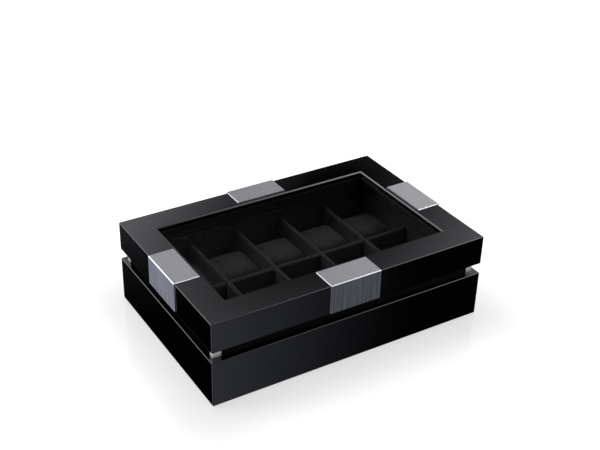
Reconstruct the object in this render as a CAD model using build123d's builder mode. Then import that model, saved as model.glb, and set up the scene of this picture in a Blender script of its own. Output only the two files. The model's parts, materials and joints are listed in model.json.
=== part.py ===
"""Watch box with a glass-topped lid: ten compartments, ten lift-out pillows, a hinged lid.

Millimetres, +Z up. The origin is the centre of the face the box rests on, +X runs along the
long side, -Y is the front and +Y is the hinge side. Everything is drawn with the lid shut.
"""
from build123d import *
import os

# ---- Box outline -----------------------------------------------------------------------
box_w = 330.0
box_d = 220.0
base_top = 54.0
lid_bottom = 66.0
lid_top = 100.0
wall_t = 14.5
corner_r = 1.2
edge_r = 1.0

# ---- Bottom of the base ----------------------------------------------------------------
felt_t = 1.0
felt_inset = 2.0
panel_t = 6.0
floor_t = 2.5
panel_top = felt_t + panel_t
floor_top = panel_top + floor_t

# ---- Neck: the recessed collar in the gap between base and lid ---------------------------
neck_inset = 6.5
neck_play = 0.3
post_side_inset = 5.0
post_end_inset = 8.0
post_play = 0.1
post_r = 0.8

# ---- Velvet linings ----------------------------------------------------------------------
liner_t = 6.0
liner_top = 70.0
liner_relief = 0.6
liner_step_drop = 1.0
lining_play = 0.6
lining_r = 2.0

# ---- Compartments ------------------------------------------------------------------------
columns = 5
divider_t = 5.5
divider_top = 61.0
divider_r = 2.2
slot_play = 0.2
end_play = 0.1

# ---- Pillows -----------------------------------------------------------------------------
pillow_side_play = 1.0
pillow_d = 50.0
pillow_top = 51.5
pillow_lift = 0.3
pillow_r = 9.0

# ---- Lid frame, glass and the strips that hold it ------------------------------------------
window_inset = 32.0
window_bevel = 1.2
flange_t = 5.0
glass_t = 2.0
glass_edge_play = 1.5
glass_bevel = 0.3
retainer_t = 1.8

# ---- Brushed plates folded over the lid's edge ---------------------------------------------
plate_w = 61.0
plate_reach = 28.0
plate_t = 1.2
plate_fold_bevel = 0.8
plate_end_bevel = 0.5
plate_gap = 1.2

# ---- Hinges --------------------------------------------------------------------------------
hinge_x = 100.0
axis_y = 107.0
axis_z = 60.0
leaf_w = 60.0
leaf_t = 1.2
leaf_play = 0.1
base_leaf_h = 10.6
lid_leaf_front = 97.2
lid_leaf_back = 108.4
barrel_r = 2.6
barrel_w = 30.0
knuckles = 5
knuckle_play = 0.12
arm_t = 2.4
pin_r = 1.1
pin_running_play = 0.05
pin_end = 0.4

# ---- Wood screws ---------------------------------------------------------------------------
screw_r = 0.9
screw_head_r = 1.75
screw_len = 6.5
screw_tip = 1.6
screw_spread = 22.0
slot_w = 0.4
slot_l = 2.0
slot_depth = 0.4

# ---- Worked out from the above -------------------------------------------------------------
inner_w = box_w - 2 * wall_t
inner_d = box_d - 2 * wall_t
room_w = inner_w - 2 * liner_t
room_d = inner_d - 2 * liner_t
column_w = (room_w - (columns - 1) * divider_t) / columns
column_pitch = column_w + divider_t
row_d = (room_d - divider_t) / 2
row_y = (row_d + divider_t) / 2
column_xs = [column_pitch * (i - (columns - 1) / 2) for i in range(columns)]
divider_xs = [column_pitch * (i - (columns - 2) / 2) for i in range(columns - 1)]
divider_h = divider_top - floor_top
divider_slot_w = divider_t + slot_play
flange_under = lid_top - flange_t
glass_under = flange_under - glass_t
glass_w = room_w - 2 * glass_edge_play
glass_d = room_d - 2 * glass_edge_play
neck_top = lid_bottom - neck_play
lining_bottom = liner_top + lining_play
neck_t = wall_t - neck_inset
neck_back_y = box_d / 2 - neck_inset
liner_step = lid_bottom - liner_step_drop
lid_leaf_d = lid_leaf_back - lid_leaf_front
lid_leaf_y = (lid_leaf_front + lid_leaf_back) / 2
knuckle_pitch = barrel_w / knuckles
knuckle_w = knuckle_pitch - knuckle_play
bore_r = pin_r + pin_running_play
screw_head_h = screw_head_r - screw_r

outward = {"front": (0, -1), "back": (0, 1), "left": (-1, 0), "right": (1, 0)}
hinge_sides = {"left": -hinge_x, "right": hinge_x}

os.makedirs("parts", exist_ok=True)


def finish(piece, name):
    """Label one finished piece and write its STEP file."""
    piece.part.label = name
    export_step(piece.part, f"parts/{name}.step")


def mitre_planes(side):
    """The two upright 45 degree planes that end a board at the box's outer corners."""
    nx, ny = outward[side]
    planes = []
    for end in (-1, 1):
        tx, ty = -ny * end, nx * end
        corner = ((nx + tx) * box_w / 2, (ny + ty) * box_d / 2, 0)
        planes.append(Plane(origin=corner, z_dir=(nx - tx, ny - ty, 0)))
    return planes


def cut_into_boards(ring, prefix, suffix=""):
    """Mitre a closed ring into its front, back, left and right boards."""
    for side in outward:
        with BuildPart() as board:
            add(ring.part)
            for plane in mitre_planes(side):
                split(bisect_by=plane, keep=Keep.TOP)
        finish(board, f"{prefix}_{side}{suffix}")


def screw_spots(side, face):
    """Where one hinge leaf's screws go: planes on the leaf, facing the screwdriver."""
    x = hinge_sides[side]
    spots = []
    for dx in (-screw_spread, screw_spread):
        if face == "base":
            spots.append(Plane(origin=(x + dx, neck_back_y, axis_z), z_dir=(0, 1, 0)))
        else:
            spots.append(Plane(origin=(x + dx, lid_leaf_y, lid_bottom), z_dir=(0, 0, -1)))
    return spots


def knuckle_xs(side, first):
    """Centres of every second knuckle along one hinge's barrel, from number first."""
    start = hinge_sides[side] - barrel_w / 2 + knuckle_pitch / 2
    return [start + knuckle_pitch * i for i in range(first, knuckles, 2)]


# ---- Felt under the base -------------------------------------------------------------------
with BuildPart() as felt_pad:
    with BuildSketch():
        RectangleRounded(box_w - 2 * felt_inset, box_d - 2 * felt_inset, corner_r)
    extrude(amount=felt_t)
finish(felt_pad, "base_felt")

# ---- Base: bottom panel and four lacquered boards --------------------------------------------
with BuildPart() as bottom_panel:
    with BuildSketch(Plane.XY.offset(felt_t)):
        Rectangle(inner_w, inner_d)
    extrude(amount=panel_t)
finish(bottom_panel, "bottom_panel")

with BuildPart() as base_ring:
    with BuildSketch(Plane.XY.offset(felt_t)):
        RectangleRounded(box_w, box_d, corner_r)
        Rectangle(inner_w, inner_d, mode=Mode.SUBTRACT)
    extrude(amount=base_top - felt_t)
    fillet(base_ring.faces().sort_by(Axis.Z)[-1].outer_wire().edges(), radius=edge_r)
    fillet(base_ring.faces().sort_by(Axis.Z)[0].outer_wire().edges(), radius=edge_r)
cut_into_boards(base_ring, "base", "_board")

# ---- Neck: four strips between four metal corner posts ----------------------------------------
for side, (nx, ny) in outward.items():
    strip_l = inner_w if ny else inner_d
    strip_out = (box_d if ny else box_w) / 2 - neck_inset
    strip_plane = Plane(origin=(0, 0, base_top), x_dir=(nx, ny, 0), z_dir=(0, 0, 1))
    with BuildPart() as strip:
        with BuildSketch(strip_plane):
            with Locations((strip_out - neck_t / 2, 0)):
                Rectangle(neck_t, strip_l)
        extrude(amount=neck_top - base_top)
        if side == "back":
            # Notches and pilot holes for the two hinge leaves.
            for hinge, x in hinge_sides.items():
                with Locations((x, neck_back_y - leaf_t / 2, (base_top + neck_top) / 2)):
                    Box(leaf_w + 2 * leaf_play, leaf_t, neck_top - base_top, mode=Mode.SUBTRACT)
                with Locations(*screw_spots(hinge, "base")):
                    Hole(radius=screw_r, depth=screw_len)
    finish(strip, f"neck_{side}")

post_w = wall_t - post_side_inset
post_d = wall_t - post_end_inset
post_x = box_w / 2 - wall_t + post_w / 2
post_y = box_d / 2 - wall_t + post_d / 2
for name, sx, sy in (
    ("front_left", -1, -1),
    ("front_right", 1, -1),
    ("back_left", -1, 1),
    ("back_right", 1, 1),
):
    with BuildPart() as post:
        with BuildSketch(Plane.XY.offset(base_top)):
            with Locations((sx * post_x, sy * post_y)):
                Rectangle(post_w, post_d)
        extrude(amount=lid_bottom - post_play - base_top)
        outer_edge = post.edges().filter_by(Axis.Z).sort_by(Axis((0, 0, 0), (sx, sy, 0)))[-1]
        fillet(outer_edge, radius=post_r)
    finish(post, f"neck_post_{name}")

# ---- Velvet-covered boards that line the base --------------------------------------------------
with BuildPart() as liner_ring:
    with BuildSketch(Plane.XY.offset(floor_top)):
        Rectangle(inner_w, inner_d)
        Rectangle(room_w, room_d, mode=Mode.SUBTRACT)
    extrude(amount=liner_step - floor_top)
    with BuildSketch(Plane.XY.offset(liner_step)):
        Rectangle(inner_w - 2 * liner_relief, inner_d - 2 * liner_relief)
        Rectangle(room_w, room_d, mode=Mode.SUBTRACT)
    extrude(amount=liner_top - liner_step)
    fillet(liner_ring.faces().sort_by(Axis.Z)[-1].edges(), radius=lining_r)
cut_into_boards(liner_ring, "liner")

with BuildPart() as floor_board:
    with BuildSketch(Plane.XY.offset(panel_top)):
        Rectangle(inner_w, inner_d)
    extrude(amount=floor_t)
finish(floor_board, "compartment_floor")

# ---- Dividers, slotted into each other halfway up ------------------------------------------------
with BuildPart() as long_divider:
    with BuildSketch(Plane.XY.offset(floor_top)):
        Rectangle(room_w - 2 * end_play, divider_t)
    extrude(amount=divider_h)
    fillet(long_divider.edges().filter_by(Axis.X).group_by(Axis.Z)[-1], radius=divider_r)
    with Locations(*[(x, 0, divider_top) for x in divider_xs]):
        Box(divider_slot_w, divider_t, divider_h, mode=Mode.SUBTRACT)
finish(long_divider, "long_divider")

for number, x in enumerate(divider_xs, start=1):
    with BuildPart() as cross_divider:
        with BuildSketch(Plane.XY.offset(floor_top)):
            with Locations((x, 0)):
                Rectangle(divider_t, room_d - 2 * end_play)
        extrude(amount=divider_h)
        fillet(cross_divider.edges().filter_by(Axis.Y).group_by(Axis.Z)[-1], radius=divider_r)
        with Locations((x, 0, floor_top)):
            Box(divider_t, divider_slot_w, divider_h, mode=Mode.SUBTRACT)
    finish(cross_divider, f"cross_divider_{number}")

# ---- Ten watch pillows ---------------------------------------------------------------------------
pillow_w = column_w - 2 * pillow_side_play
pillow_h = pillow_top - floor_top - pillow_lift
pillow_mid = pillow_top - pillow_h / 2
for row, y in (("front", -row_y), ("back", row_y)):
    for number, x in enumerate(column_xs, start=1):
        with BuildPart() as pillow:
            with Locations((x, y, pillow_mid)):
                Box(pillow_w, pillow_d, pillow_h)
            fillet(pillow.edges(), radius=pillow_r)
        finish(pillow, f"pillow_{row}_{number}")

# ---- Lid: four lacquered rails with the window opening ---------------------------------------------
window_w = box_w - 2 * window_inset
window_d = box_d - 2 * window_inset
with BuildPart() as lid_ring:
    with BuildSketch(Plane.XY.offset(lid_bottom)):
        RectangleRounded(box_w, box_d, corner_r)
    extrude(amount=lid_top - lid_bottom)
    with BuildSketch(Plane.XY.offset(lid_bottom)):
        Rectangle(inner_w, inner_d)
    extrude(amount=flange_under - lid_bottom, mode=Mode.SUBTRACT)
    with BuildSketch(Plane.XY.offset(flange_under)):
        Rectangle(window_w, window_d)
    extrude(amount=flange_t, mode=Mode.SUBTRACT)
    fillet(lid_ring.faces().sort_by(Axis.Z)[-1].outer_wire().edges(), radius=edge_r)
    fillet(lid_ring.faces().sort_by(Axis.Z)[0].outer_wire().edges(), radius=edge_r)
    chamfer(lid_ring.faces().sort_by(Axis.Z)[-1].inner_wires()[0].edges(), length=window_bevel)
    # Mortises and pilot holes for the two hinge leaves.
    for hinge, x in hinge_sides.items():
        with Locations((x, lid_leaf_y, lid_bottom + leaf_t / 2)):
            Box(leaf_w + 2 * leaf_play, lid_leaf_d + 2 * leaf_play, leaf_t, mode=Mode.SUBTRACT)
        with Locations(*screw_spots(hinge, "lid")):
            Hole(radius=screw_r, depth=screw_len)
cut_into_boards(lid_ring, "lid", "_rail")

# ---- Glass and the four strips that hold it up against the rails ------------------------------------
with BuildPart() as glass:
    with BuildSketch(Plane.XY.offset(glass_under)):
        Rectangle(glass_w, glass_d)
    extrude(amount=glass_t)
    chamfer(glass.faces().sort_by(Axis.Z)[-1].edges(), length=glass_bevel)
    chamfer(glass.faces().sort_by(Axis.Z)[0].edges(), length=glass_bevel)
finish(glass, "glass_pane")

with BuildPart() as retainer_ring:
    with BuildSketch(Plane.XY.offset(glass_under - retainer_t)):
        Rectangle(room_w, room_d)
        Rectangle(window_w, window_d, mode=Mode.SUBTRACT)
    extrude(amount=retainer_t)
cut_into_boards(retainer_ring, "glass_strip")

# ---- Velvet-covered boards that line the lid ---------------------------------------------------------
with BuildPart() as lining_ring:
    with BuildSketch(Plane.XY.offset(lining_bottom)):
        Rectangle(inner_w, inner_d)
        Rectangle(room_w, room_d, mode=Mode.SUBTRACT)
    extrude(amount=flange_under - lining_bottom)
    fillet(lining_ring.faces().sort_by(Axis.Z)[0].edges(), radius=lining_r)
cut_into_boards(lining_ring, "lid_lining")

# ---- Four brushed plates, each folded over one edge of the lid ------------------------------------------
for side, (nx, ny) in outward.items():
    out = (box_d if ny else box_w) / 2
    foot = lid_bottom + plate_gap
    top = lid_top + plate_t
    face_out = out + plate_t
    profile_plane = Plane(origin=(0, 0, 0), x_dir=(nx, ny, 0), z_dir=(ny, -nx, 0))
    with BuildPart() as plate:
        with BuildSketch(profile_plane):
            with BuildLine():
                Polyline(
                    (out, foot),
                    (face_out, foot),
                    (face_out, top - plate_fold_bevel),
                    (face_out - plate_fold_bevel, top),
                    (out - plate_reach, top),
                    (out - plate_reach, lid_top),
                    (out, lid_top),
                    close=True,
                )
            make_face()
        extrude(amount=plate_w / 2, both=True)
        ends = plate.faces().filter_by(Axis((0, 0, 0), profile_plane.z_dir))
        rim = plate.edges().filter_by(
            lambda edge: edge.center().Z > lid_top + plate_t / 2
            or abs(edge.center().X * nx + edge.center().Y * ny) > out + plate_t / 2
        )
        chamfer(ends.edges() & rim, length=plate_end_bevel)
    finish(plate, f"lid_plate_{side}")

# ---- Hinges ------------------------------------------------------------------------------------------------
for side, x in hinge_sides.items():
    with BuildPart() as base_leaf:
        with Locations((x, neck_back_y - leaf_t / 2, axis_z)):
            Box(leaf_w, leaf_t, base_leaf_h)
        for knuckle_x in knuckle_xs(side, 0):
            with Locations((knuckle_x, (neck_back_y + axis_y) / 2, axis_z)):
                Box(knuckle_w, axis_y - neck_back_y, arm_t)
            with Locations((knuckle_x, axis_y, axis_z)):
                Cylinder(barrel_r, knuckle_w, rotation=(0, 90, 0))
        with Locations((x, axis_y, axis_z)):
            Cylinder(pin_r, 2 * barrel_w, rotation=(0, 90, 0), mode=Mode.SUBTRACT)
        with Locations(*screw_spots(side, "base")):
            CounterSinkHole(screw_r, screw_head_r, depth=2 * leaf_t, counter_sink_angle=90)
    finish(base_leaf, f"hinge_{side}_base_leaf")

    with BuildPart() as lid_leaf:
        with Locations((x, lid_leaf_y, lid_bottom + leaf_t / 2)):
            Box(leaf_w, lid_leaf_d, leaf_t)
        for knuckle_x in knuckle_xs(side, 1):
            with Locations((knuckle_x, axis_y, (axis_z + lid_bottom) / 2)):
                Box(knuckle_w, arm_t, lid_bottom - axis_z)
            with Locations((knuckle_x, axis_y, axis_z)):
                Cylinder(barrel_r, knuckle_w, rotation=(0, 90, 0))
        with Locations((x, axis_y, axis_z)):
            Cylinder(bore_r, 2 * barrel_w, rotation=(0, 90, 0), mode=Mode.SUBTRACT)
        with Locations(*screw_spots(side, "lid")):
            CounterSinkHole(screw_r, screw_head_r, depth=2 * leaf_t, counter_sink_angle=90)
    finish(lid_leaf, f"hinge_{side}_lid_leaf")

    with BuildPart() as pin:
        with Locations((x, axis_y, axis_z)):
            Cylinder(pin_r, barrel_w + 2 * pin_end, rotation=(0, 90, 0))
        chamfer(pin.edges().filter_by(GeomType.CIRCLE), length=pin_end)
    finish(pin, f"hinge_{side}_pin")

# ---- Screws: one node for the base leaves' four, one for the lid leaves' four ---------------------------------
top_down = (Align.CENTER, Align.CENTER, Align.MAX)
for face in ("base", "lid"):
    spots = screw_spots("left", face) + screw_spots("right", face)
    tips = [plane.offset(screw_tip - screw_len) for plane in spots]
    with BuildPart() as screws:
        with Locations(*spots):
            Cylinder(screw_r, screw_len - screw_tip, align=top_down)
            Cone(screw_r, screw_head_r, screw_head_h, align=top_down)
        with Locations(*tips):
            Cone(0, screw_r, screw_tip, align=top_down)
        with Locations(*spots):
            Box(slot_l, slot_w, slot_depth, align=top_down, mode=Mode.SUBTRACT)
            Box(slot_w, slot_l, slot_depth, align=top_down, mode=Mode.SUBTRACT)
    finish(screws, f"hinge_screws_{face}")
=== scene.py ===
"""Looks for the watch box: gloss lacquer, brushed plates, velvet, glass and ten sewn pillows."""

import json
import math

import bpy
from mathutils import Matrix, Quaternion, Vector, noise


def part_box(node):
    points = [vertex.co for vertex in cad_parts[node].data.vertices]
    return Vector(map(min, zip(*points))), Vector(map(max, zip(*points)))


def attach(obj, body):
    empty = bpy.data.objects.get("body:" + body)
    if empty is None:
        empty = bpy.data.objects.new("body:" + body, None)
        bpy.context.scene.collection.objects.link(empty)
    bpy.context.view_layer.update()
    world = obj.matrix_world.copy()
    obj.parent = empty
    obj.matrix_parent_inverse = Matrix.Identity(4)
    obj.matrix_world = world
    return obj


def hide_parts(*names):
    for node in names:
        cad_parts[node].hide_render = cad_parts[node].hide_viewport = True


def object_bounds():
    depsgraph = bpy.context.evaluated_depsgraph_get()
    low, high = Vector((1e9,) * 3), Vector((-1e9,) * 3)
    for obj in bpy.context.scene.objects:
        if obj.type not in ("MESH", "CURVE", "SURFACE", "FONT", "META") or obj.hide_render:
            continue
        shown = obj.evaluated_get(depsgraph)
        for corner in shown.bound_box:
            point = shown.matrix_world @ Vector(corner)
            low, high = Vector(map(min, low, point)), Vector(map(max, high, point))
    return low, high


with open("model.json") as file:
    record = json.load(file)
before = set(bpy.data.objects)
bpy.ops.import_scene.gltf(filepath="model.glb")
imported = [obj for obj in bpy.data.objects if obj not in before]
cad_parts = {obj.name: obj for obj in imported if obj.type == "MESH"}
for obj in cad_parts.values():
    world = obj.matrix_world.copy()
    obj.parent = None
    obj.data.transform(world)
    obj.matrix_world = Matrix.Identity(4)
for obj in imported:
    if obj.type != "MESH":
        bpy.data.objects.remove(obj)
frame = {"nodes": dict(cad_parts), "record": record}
cad_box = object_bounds()
nodes = frame["nodes"]

# ---- View: the camera looks down at the box from the front left ------------------------------
AZIMUTH = math.radians(-29.3)
ELEVATION = math.radians(30.8)
DISTANCE = 1.281
AIM = Vector((0.0, 0.107, 0.05))
LENS = 65.0
SHIFT_X = 0.0815

# ---- Pillows ---------------------------------------------------------------------------------
SHRINK = 0.965  # of the CAD pillow, before it is blown up
VOXEL = 0.0021
SEAM_INSET = 0.0085  # from the CAD pillow's ends to its seams
SEAM_HALF = 0.0013  # half the band that is held still
CLOTH_MASS = 0.05
CLOTH_STIFFNESS = 8.0
CLOTH_BENDING = 0.05
CLOTH_PRESSURE = 6.0
SIM_FRAMES = 20
MOST_MOVE = 0.0035  # limit on how far the cloth moves
SEAM_DEEP = 0.001
SEAM_WIDE = 0.0016
PUCKERS = 44  # round one seam
PUCKER_DEEP = 0.00022
PUCKER_LONG = 0.0042
SETTLE = 0.0007  # the deepest dent from use
SETTLE_SPOTS = 26.0  # dents to the metre, roughly

# ---- Glass -----------------------------------------------------------------------------------
COATING_IOR = 1.04
WHITE = (1.0, 1.0, 1.0, 1.0)

# ---- Plates ----------------------------------------------------------------------------------
END_PLATE_X = 0.11  # the two end plates lie beyond this, the front and back ones within it
SCRATCH_ENDS = 9.0  # changes to the metre along a scratch

# ---- Floor and light -------------------------------------------------------------------------
FLOOR_SIZE = 200.0
FLOOR_Z = -0.0001
# The floor glows less beside the box than away from it: a painted soft shadow, fading out over the reach
# below.
GLOW_IN_PAINTED_SHADOW = 0.62  # beside the box
GLOW_PAST_PAINTED_SHADOW = 1.04
PAINTED_SHADOW_REACH = 0.14  # from the box to where the glow is full
# Name, azimuth and elevation in degrees, distance, size, power in watts.
LAMPS = (
    ("top_lamp", 0.0, 85.0, 2.2, 2.4, 80.0),
    ("left_lamp", -60.0, 35.0, 2.2, 1.0, 26.0),
    ("front_lamp", 175.0, 32.0, 2.2, 1.0, 9.0),
)


def clear_start_scene():
    """Remove the cube, lamp and camera that a new file holds."""
    for name in ("Cube", "Light", "Camera"):
        old = bpy.data.objects.get(name)
        if old is not None:
            bpy.data.objects.remove(old)


def put(socket, value):
    """Link a socket, or set its constant."""
    if isinstance(value, bpy.types.NodeSocket):
        socket.id_data.links.new(value, socket)
    else:
        socket.default_value = value


def node(tree, kind, settings=None, inputs=None):
    """Add a node; settings are its options and inputs are its sockets by name or number."""
    made = tree.nodes.new(kind)
    for key, value in (settings or {}).items():
        setattr(made, key, value)
    for key, value in (inputs or {}).items():
        put(made.inputs[key], value)
    return made


def calc(tree, operation, a, b=0.0, c=0.0):
    """One Math node's result."""
    return node(tree, "ShaderNodeMath", {"operation": operation}, {0: a, 1: b, 2: c}).outputs[0]


def calc_vector(tree, operation, a, b=(0.0, 0.0, 0.0)):
    """One Vector Math node; its outputs are Vector and Value."""
    return node(tree, "ShaderNodeVectorMath", {"operation": operation}, {0: a, 1: b}).outputs


def join_xyz(tree, x, y, z):
    """A vector from three values."""
    return node(tree, "ShaderNodeCombineXYZ", None, {0: x, 1: y, 2: z}).outputs[0]


def split_xyz(tree, vector):
    """The three values of a vector."""
    return node(tree, "ShaderNodeSeparateXYZ", None, {0: vector}).outputs


def ramp(tree, factor, low, high):
    """A smooth change from 0 to 1 as factor goes from low to high."""
    inputs = {"Value": factor, "From Min": low, "From Max": high}
    settings = {"interpolation_type": "SMOOTHSTEP"}
    return node(tree, "ShaderNodeMapRange", settings, inputs).outputs["Result"]


def mix_values(tree, factor, a, b):
    """A mix of two plain values."""
    return node(tree, "ShaderNodeMix", None, {"Factor": factor, 2: a, 3: b}).outputs[0]


def blend_colours(tree, factor, a, b):
    """A mix of two colours, each three numbers or a socket."""
    made = node(tree, "ShaderNodeMix", {"data_type": "RGBA"}, {"Factor": factor})
    for letter, colour in (("A", a), ("B", b)):
        put(made.inputs[letter], (*colour, 1.0) if isinstance(colour, tuple) else colour)
    return made.outputs["Result"]


def grey(level, blue=0.0):
    """A grey colour, with a little more blue if asked."""
    return (level, level, level + blue)


def start_material(name):
    """A material with its Principled shader, its tree and its object coordinates."""
    material = bpy.data.materials.new(name)
    material.use_nodes = True
    tree = material.node_tree
    shader = tree.nodes["Principled BSDF"]
    place = node(tree, "ShaderNodeTexCoord").outputs["Object"]
    return material, tree, shader, place


def grain(tree, place, scale, detail=2.0, roughness=0.5):
    """Noise with scale features to the metre of place."""
    inputs = {"Vector": place, "Scale": scale, "Detail": detail, "Roughness": roughness}
    return node(tree, "ShaderNodeTexNoise", None, inputs).outputs["Fac"]


def bump(tree, shader, height, depth, strength=1.0):
    """Feed a height, in units of depth metres, to a shader's normal."""
    inputs = {"Height": height, "Distance": depth, "Strength": strength}
    put(shader.inputs["Normal"], node(tree, "ShaderNodeBump", None, inputs).outputs["Normal"])


# ---- Materials -------------------------------------------------------------------------------
def lacquer():
    """Deep black piano lacquer: clear, hard and very slightly uneven."""
    material, tree, shader, place = start_material("black_lacquer")
    cloud = grain(tree, place, 22.0, 3.0)
    colour = blend_colours(tree, cloud, (0.0004, 0.0004, 0.0005), (0.0011, 0.0011, 0.0013))
    put(shader.inputs["Base Color"], colour)
    haze = grain(tree, place, 60.0, 4.0)
    put(shader.inputs["Roughness"], calc(tree, "MULTIPLY_ADD", haze, 0.03, 0.01))
    shader.inputs["IOR"].default_value = 1.5
    bump(tree, shader, grain(tree, place, 140.0, 2.0), 0.00002, 0.35)
    return material


def brushed():
    """Brushed aluminium with polished bevels: tops brushed along their fold, sides straight down. The
    sides are coloured bluer and more streaked than the tops: painted light.
    """
    material, tree, shader, place = start_material("brushed_plate")
    facing = node(tree, "ShaderNodeTexCoord").outputs["Normal"]
    square_x, square_y, square_z = split_xyz(tree, calc_vector(tree, "ABSOLUTE", facing)["Vector"])
    on_top = ramp(tree, square_z, 0.6, 0.8)
    on_front = ramp(tree, square_y, 0.6, 0.8)
    squarest = calc(tree, "MAXIMUM", calc(tree, "MAXIMUM", square_x, square_y), square_z)
    bevel = ramp(tree, squarest, 0.97, 0.86)

    x, y, z = split_xyz(tree, place)
    at_end = ramp(tree, calc(tree, "ABSOLUTE", x), END_PLATE_X - 0.01, END_PLATE_X)
    lengthwise = mix_values(tree, at_end, x, y)
    crosswise = mix_values(tree, at_end, y, x)
    side_by_side = mix_values(tree, on_top, mix_values(tree, on_front, y, x), crosswise)
    along = mix_values(tree, on_top, z, lengthwise)

    def scratches(per_metre, detail):
        """Long thin noise with per_metre changes across it."""
        across = calc(tree, "MULTIPLY", side_by_side, per_metre)
        down = calc(tree, "MULTIPLY", along, SCRATCH_ENDS)
        return grain(tree, join_xyz(tree, across, down, on_top), 1.0, detail, 0.65)

    hair = scratches(2600.0, 3.0)
    band = scratches(1100.0, 2.0)
    both = calc(tree, "MULTIPLY_ADD", hair, 0.45, calc(tree, "MULTIPLY", band, 0.55))
    # One metal, two colour copies: the sides bluer and with stronger streaks than the tops, painted
    # light for the bluish glow and the light falling on the sides.
    side_painted_light_tone = ramp(tree, both, 0.36, 0.64)
    side_metal_painted_light = blend_colours(tree, side_painted_light_tone, (0.17, 0.1725, 0.18), (0.5, 0.507, 0.528))
    top_painted_light_tone = ramp(tree, both, 0.32, 0.68)
    top_metal_painted_light = blend_colours(tree, top_painted_light_tone, (0.195, 0.1957, 0.1972), (0.285, 0.286, 0.288))
    metal = blend_colours(tree, on_top, side_metal_painted_light, top_metal_painted_light)
    put(shader.inputs["Base Color"], blend_colours(tree, bevel, metal, (0.44, 0.44, 0.445)))
    shader.inputs["Metallic"].default_value = 1.0
    satin_rough = calc(tree, "MULTIPLY_ADD", both, 0.14, 0.35)
    put(shader.inputs["Roughness"], calc(tree, "MULTIPLY_ADD", bevel, -0.12, satin_rough))
    shader.inputs["Anisotropic"].default_value = 0.9
    shader.inputs["Anisotropic Rotation"].default_value = 0.25
    way_y = calc(tree, "MULTIPLY", on_top, at_end)
    way_x = calc(tree, "SUBTRACT", on_top, way_y)
    way_z = calc(tree, "SUBTRACT", 1.0, on_top)
    turned = {"vector_type": "VECTOR", "convert_from": "OBJECT", "convert_to": "WORLD"}
    tangent = node(tree, "ShaderNodeVectorTransform", turned, {0: join_xyz(tree, way_x, way_y, way_z)})
    put(shader.inputs["Tangent"], tangent.outputs[0])
    bump(tree, shader, hair, 0.00003, 0.5)
    return material


def satin(name, dark, light, rough, metallic=1.0):
    """Plain satin metal, or with less metallic a pale coat on it, with a fine even grain."""
    material, tree, shader, place = start_material(name)
    speck = grain(tree, place, 900.0, 3.0)
    put(shader.inputs["Base Color"], blend_colours(tree, speck, dark, light))
    shader.inputs["Metallic"].default_value = metallic
    put(shader.inputs["Roughness"], calc(tree, "MULTIPLY_ADD", speck, 0.12, rough))
    bump(tree, shader, speck, 0.00001, 0.4)
    return material


def pile(name, dark, light, nap_scale, sheen, sheen_tint):
    """Short cloth pile: matte, with a soft sheen, lighter where the nap lies over."""
    material, tree, shader, place = start_material(name)
    nap = grain(tree, place, nap_scale, 4.0, 0.6)
    fibre = grain(tree, place, 3200.0, 2.0)
    mixed = calc(tree, "MULTIPLY_ADD", fibre, 0.4, calc(tree, "MULTIPLY", nap, 0.6))
    tone = ramp(tree, mixed, 0.3, 0.7)
    put(shader.inputs["Base Color"], blend_colours(tree, tone, dark, light))
    put(shader.inputs["Roughness"], calc(tree, "MULTIPLY_ADD", fibre, 0.15, 0.8))
    shader.inputs["Specular IOR Level"].default_value = 0.1
    shader.inputs["Sheen Weight"].default_value = sheen
    shader.inputs["Sheen Roughness"].default_value = 0.45
    shader.inputs["Sheen Tint"].default_value = (*sheen_tint, 1.0)
    bump(tree, shader, fibre, 0.00012, 0.45)
    return material


def clear_glass():
    """Thin clear glass with a coating that keeps reflections weak."""
    material, tree, shader, place = start_material("clear_glass")
    tree.nodes.remove(shader)
    smear = grain(tree, place, 18.0, 3.0)
    behind = node(tree, "ShaderNodeNewGeometry").outputs["Backfacing"]
    ior = calc(tree, "MULTIPLY_ADD", behind, 1 / COATING_IOR - COATING_IOR, COATING_IOR)
    mirror_share = node(tree, "ShaderNodeFresnel", None, {"IOR": ior}).outputs["Fac"]
    clear = node(tree, "ShaderNodeBsdfTransparent", None, {"Color": (0.985, 0.99, 0.988, 1.0)})
    mirror = node(tree, "ShaderNodeBsdfAnisotropic", {"distribution": "GGX"}, {"Color": WHITE})
    put(mirror.inputs["Roughness"], calc(tree, "MULTIPLY_ADD", smear, 0.03, 0.09))
    mixed = node(tree, "ShaderNodeMixShader", None, {0: mirror_share, 1: clear.outputs[0]})
    put(mixed.inputs[2], mirror.outputs[0])
    put(tree.nodes["Material Output"].inputs["Surface"], mixed.outputs[0])
    return material


def stained_board():
    """Dark stained fibreboard under the base."""
    material, tree, shader, place = start_material("panel_board")
    fleck = grain(tree, place, 700.0, 4.0)
    colour = blend_colours(tree, fleck, (0.012, 0.011, 0.01), (0.03, 0.028, 0.025))
    put(shader.inputs["Base Color"], colour)
    shader.inputs["Roughness"].default_value = 0.7
    bump(tree, shader, fleck, 0.0001, 0.5)
    return material


def paint(mesh, material):
    """Give a mesh one material in place of any other."""
    mesh.materials.clear()
    mesh.materials.append(material)


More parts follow.
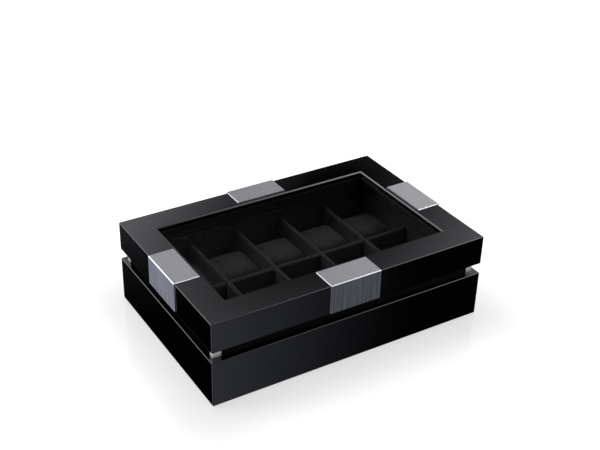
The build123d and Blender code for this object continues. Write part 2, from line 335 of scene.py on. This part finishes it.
def paint_cad_nodes():
    """Give every CAD node the material of its slot."""
    dark, light = grey(0.0025, 0.0001), grey(0.0092, 0.0002)
    velvet = pile("black_velvet", dark, light, 260.0, 0.1, grey(0.5, 0.02))
    by_slot = {
        "black_lacquer": lacquer(),
        "panel_board": stained_board(),
        "brushed_plate": brushed(),
        "post_metal": satin("post_metal", (0.78, 0.76, 0.73), (0.9, 0.88, 0.85), 0.42, 0.5),
        # The neck in the shadow gap gets matt cloth nearly black, darker than the velvet: partly its own
        # dark finish, partly painted shade of the gap.
        "neck_cloth": pile("neck_cloth", grey(0.0006), grey(0.0022, 0.0001), 420.0, 0.02, grey(0.4)),
        "hinge_steel": satin("hinge_steel", (0.4, 0.4, 0.41), (0.55, 0.55, 0.56), 0.3),
        "screw_steel": satin("screw_steel", grey(0.5), grey(0.68), 0.18),
        "clear_glass": clear_glass(),
        "black_velvet": velvet,
        "felt": pile("felt", grey(0.006), grey(0.016), 500.0, 0.1, grey(0.4)),
        "pillow_suede": velvet,
    }
    for row in frame["record"]["subparts"]:
        paint(nodes[row["node"]].data, by_slot[row["material_slot"]])


# ---- Pillows ---------------------------------------------------------------------------------
def select_only(obj):
    """Make one object the only selected and the active one."""
    bpy.ops.object.select_all(action="DESELECT")
    obj.select_set(True)
    bpy.context.view_layer.objects.active = obj


def sew_pillow(name, half):
    """One pillow round the origin: its end seams are held while it is blown up as cloth."""
    low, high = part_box("pillow_back_4")
    middle = (low + high) / 2
    mesh = nodes["pillow_back_4"].data.copy()
    pillow = bpy.data.objects.new(name, mesh)
    bpy.context.scene.collection.objects.link(pillow)
    for vertex in mesh.vertices:
        vertex.co = (vertex.co - middle) * SHRINK
    select_only(pillow)
    remesh = pillow.modifiers.new("remesh", "REMESH")
    remesh.mode = "VOXEL"
    remesh.voxel_size = VOXEL
    bpy.ops.object.modifier_apply(modifier=remesh.name)
    start = [vertex.co.copy() for vertex in pillow.data.vertices]
    seam = pillow.vertex_groups.new(name="seam")
    seam_x = half.x - SEAM_INSET
    for vertex in pillow.data.vertices:
        if abs(abs(vertex.co.x) - seam_x) < SEAM_HALF:
            seam.add([vertex.index], 1.0, "REPLACE")
    cloth = pillow.modifiers.new("cloth", "CLOTH")
    settings = cloth.settings
    settings.vertex_group_mass = seam.name
    settings.mass = CLOTH_MASS
    settings.tension_stiffness = CLOTH_STIFFNESS
    settings.compression_stiffness = CLOTH_STIFFNESS
    settings.shear_stiffness = CLOTH_STIFFNESS / 2
    settings.bending_stiffness = CLOTH_BENDING
    settings.use_pressure = True
    settings.uniform_pressure_force = CLOTH_PRESSURE
    settings.effector_weights.gravity = 0.0
    scene = bpy.context.scene
    for step in range(1, SIM_FRAMES + 1):
        scene.frame_set(step)
    select_only(pillow)
    bpy.ops.object.modifier_apply(modifier=cloth.name)
    scene.frame_set(1)
    for vertex, before in zip(pillow.data.vertices, start):
        move = vertex.co - before
        if move.length > MOST_MOVE:
            vertex.co = before + move * (MOST_MOVE / move.length)
    return pillow


def sew_seam(mesh, seam_x):
    """Draw the cloth in along both end seams, and gather it into small puckers beside them."""
    outward = [vertex.normal.copy() for vertex in mesh.vertices]
    for vertex, normal in zip(mesh.vertices, outward):
        from_seam = abs(abs(vertex.co.x) - seam_x)
        pull = math.exp(-(from_seam / SEAM_WIDE) ** 2)
        round_pillow = math.atan2(vertex.co.z, vertex.co.y)
        pucker = math.exp(-(from_seam / PUCKER_LONG) ** 2) * math.sin(round_pillow * PUCKERS)
        vertex.co -= normal * (pull * SEAM_DEEP + pucker * PUCKER_DEEP)


def make_pillows():
    """Ten pillows from one sewn shape, each settled a little differently."""
    dark, light = grey(0.0034, 0.0002), grey(0.0088, 0.0003)
    suede = pile("pillow_suede", dark, light, 160.0, 0.09, grey(0.55, 0.02))
    low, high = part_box("pillow_back_4")
    half = (high - low) / 2
    master = sew_pillow("pillow_master", half)
    mesh = master.data
    bpy.data.objects.remove(master)
    sew_seam(mesh, half.x - SEAM_INSET)
    for polygon in mesh.polygons:
        polygon.use_smooth = True
    paint(mesh, suede)
    outward = [vertex.normal.copy() for vertex in mesh.vertices]
    for row in ("front", "back"):
        for number in range(1, 6):
            cad_name = f"pillow_{row}_{number}"
            low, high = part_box(cad_name)
            middle = (low + high) / 2
            own = mesh.copy()
            for vertex, normal in zip(own.vertices, outward):
                spot = vertex.co * SETTLE_SPOTS + Vector((number * 7.0, len(row) * 3.0, 0.0))
                hollow = (noise.noise(spot) - 1.0) * SETTLE / 2
                vertex.co += middle + normal * hollow
            pillow = bpy.data.objects.new(f"cushion_{row}_{number}", own)
            bpy.context.scene.collection.objects.link(pillow)
            smooth = pillow.modifiers.new("smooth", "SUBSURF")
            smooth.levels = smooth.render_levels = 1
            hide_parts(cad_name)
            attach(pillow, cad_name)


# ---- Stage -----------------------------------------------------------------------------------
def make_floor():
    """A white glossy floor that glows less beside the box: a painted soft shadow."""
    mesh = bpy.data.meshes.new("floor")
    half = FLOOR_SIZE / 2
    signs = ((-1, -1), (1, -1), (1, 1), (-1, 1))
    corners = [(half * x, half * y, FLOOR_Z) for x, y in signs]
    mesh.from_pydata(corners, [], [(0, 1, 2, 3)])
    floor = bpy.data.objects.new("floor", mesh)
    bpy.context.scene.collection.objects.link(floor)
    material, tree, shader, place = start_material("floor_white")
    tint = grain(tree, place, 3.0, 2.0)
    put(shader.inputs["Base Color"], blend_colours(tree, tint, grey(0.16, 0.002), grey(0.17, 0.002)))
    shader.inputs["Roughness"].default_value = 0.1
    shader.inputs["IOR"].default_value = 1.45
    shader.inputs["Emission Color"].default_value = WHITE
    outline = (cad_box[1] - cad_box[0]) / 2
    from_centre = calc_vector(tree, "ABSOLUTE", place)["Vector"]
    beyond = calc_vector(tree, "SUBTRACT", from_centre, outline)["Vector"]
    outside = calc_vector(tree, "MAXIMUM", beyond)["Vector"]
    from_box = calc_vector(tree, "LENGTH", outside)["Value"]
    # Painted shadow: the floor glows least beside the box and fully past the reach.
    out_of_painted_shadow = ramp(tree, from_box, 0.0, PAINTED_SHADOW_REACH)
    strength = calc(tree, "MULTIPLY_ADD", out_of_painted_shadow, GLOW_PAST_PAINTED_SHADOW - GLOW_IN_PAINTED_SHADOW, GLOW_IN_PAINTED_SHADOW)
    put(shader.inputs["Emission Strength"], strength)
    mesh.materials.append(material)
    floor.visible_glossy = False


def direction(azimuth, elevation):
    """Unit vector: azimuth in degrees from +Y towards +X, elevation above the floor."""
    a, e = math.radians(azimuth), math.radians(elevation)
    return Vector((math.sin(a) * math.cos(e), math.cos(a) * math.cos(e), math.sin(e)))


def make_sky():
    """Soft studio surroundings: a pale room with a dark corner, bright panels and low glows."""
    world = bpy.data.worlds.new("studio")
    bpy.context.scene.world = world
    world.use_nodes = True
    tree = world.node_tree
    ray = node(tree, "ShaderNodeTexCoord").outputs["Generated"]

    def along(axis):
        """How far the ray points along an axis."""
        return calc_vector(tree, "DOT_PRODUCT", ray, axis)["Value"]

    def lobe(azimuth, elevation, wide, tall, tilt=0.0):
        """1 in one direction, fading over wide and tall degrees; tilt turns it anticlockwise."""
        centre = direction(azimuth, elevation)
        turn = Quaternion(centre, math.radians(-tilt))
        right = turn @ centre.cross(Vector((0, 0, 1))).normalized()
        up = right.cross(centre)
        u = calc(tree, "DIVIDE", along(right), math.sin(math.radians(wide)))
        v = calc(tree, "DIVIDE", along(up), math.sin(math.radians(tall)))
        far = calc(tree, "MULTIPLY_ADD", u, u, calc(tree, "MULTIPLY", v, v))
        shape = calc(tree, "POWER", math.e, calc(tree, "MULTIPLY", far, -1.0))
        facing = calc(tree, "GREATER_THAN", along(centre), 0.0)
        return calc(tree, "MULTIPLY", shape, facing)

    def panel(left, left_end, right_end, right, low, high, soft):
        """1 between two azimuths and two elevations, rising from left to left_end and so on."""
        def past(azimuth):
            """The level axis that a ray past the azimuth points along."""
            a = math.radians(azimuth)
            return Vector((math.cos(a), -math.sin(a), 0.0))

        level = math.cos(math.radians((low + high) / 2))
        first = ramp(tree, along(past(left)), 0.0, level * math.sin(math.radians(left_end - left)))
        last = ramp(tree, along(-past(right)), 0.0, level * math.sin(math.radians(right - right_end)))
        rise = along(Vector((0, 0, 1)))
        bottom = ramp(tree, rise, math.sin(math.radians(low)), math.sin(math.radians(low + soft)))
        top = ramp(tree, rise, math.sin(math.radians(high)), math.sin(math.radians(high - soft)))
        sideways = calc(tree, "MULTIPLY", first, last)
        return calc(tree, "MULTIPLY", sideways, calc(tree, "MULTIPLY", bottom, top))

    def scaled(lobe_value, peak, less=0.0):
        """A lobe with a given peak, less a constant, and never under 0."""
        return calc(tree, "MAXIMUM", calc(tree, "MULTIPLY_ADD", lobe_value, peak, -less), 0.0)

    def total(*parts):
        """The sum of the parts."""
        result = parts[0]
        for part in parts[1:]:
            result = calc(tree, "ADD", result, part)
        return result

    above = ramp(tree, along(Vector((0, 0, 1))), -0.03, 0.05)
    towards_back = ramp(tree, along(Vector((0, 1, 0))), -0.35, 0.45)
    bowl = calc(tree, "SUBTRACT", 1.0, lobe(34.0, 29.7, 18.0, 28.5, 50.0))
    room = calc(tree, "MINIMUM", scaled(bowl, 6.0, 0.04), 1.05)
    room = calc(tree, "MULTIPLY", room, calc(tree, "MULTIPLY_ADD", towards_back, 0.75, 0.25))
    left_panel = scaled(lobe(-36.0, 21.0, 10.0, 14.0), 6.0)
    right_panel = scaled(lobe(118.0, 40.0, 13.0, 17.0), 9.6)
    far_right_panel = scaled(lobe(84.0, 36.0, 14.0, 15.0), 2.5)
    low_right_panel = scaled(lobe(50.0, 4.0, 8.0, 10.0), 10.0)
    upper = total(room, left_panel, right_panel, far_right_panel, low_right_panel)
    front_glow = scaled(panel(139.5, 165.0, 166.0, 182.0, -62.0, -16.0, 8.0), 0.81)
    back_glow = scaled(lobe(-15.0, -20.0, 30.0, 7.5), 0.62, 0.008)
    side_glow = scaled(lobe(-80.0, -34.0, 19.0, 18.0), 2.8, 0.05)
    lower = total(front_glow, back_glow, side_glow)
    low_share = calc(tree, "SUBTRACT", 1.0, above)
    total_light = calc(tree, "MULTIPLY_ADD", upper, above, calc(tree, "MULTIPLY", lower, low_share))
    background = tree.nodes["Background"]
    put(background.inputs["Color"], blend_colours(tree, above, (0.95, 0.99, 1.14), (0.985, 0.985, 1.05)))
    put(background.inputs["Strength"], total_light)
    world.cycles_visibility.diffuse = False


def make_lamp(name, azimuth, elevation, distance, size, power):
    """A round soft lamp aimed at the box; glossy surfaces don't show it."""
    data = bpy.data.lights.new(name, "AREA")
    data.shape = "DISK"
    data.size = size
    data.energy = power
    lamp = bpy.data.objects.new(name, data)
    bpy.context.scene.collection.objects.link(lamp)
    towards = direction(azimuth, elevation)
    lamp.location = towards * distance
    lamp.rotation_mode = "QUATERNION"
    lamp.rotation_quaternion = towards.to_track_quat("Z", "Y")
    lamp.visible_glossy = False


def make_camera():
    """The camera, from the values at the top."""
    data = bpy.data.cameras.new("view")
    data.lens = LENS
    data.shift_x = SHIFT_X
    camera = bpy.data.objects.new("view", data)
    bpy.context.scene.collection.objects.link(camera)
    back = Vector((
        math.sin(AZIMUTH) * math.cos(ELEVATION),
        -math.cos(AZIMUTH) * math.cos(ELEVATION),
        math.sin(ELEVATION),
    ))
    camera.location = AIM + back * DISTANCE
    camera.rotation_mode = "QUATERNION"
    camera.rotation_quaternion = (-back).to_track_quat("-Z", "Y")
    bpy.context.scene.camera = camera


clear_start_scene()
bpy.context.scene.view_settings.view_transform = "Standard"
make_camera()
make_sky()
for lamp_settings in LAMPS:
    make_lamp(*lamp_settings)
make_floor()
paint_cad_nodes()
make_pillows()
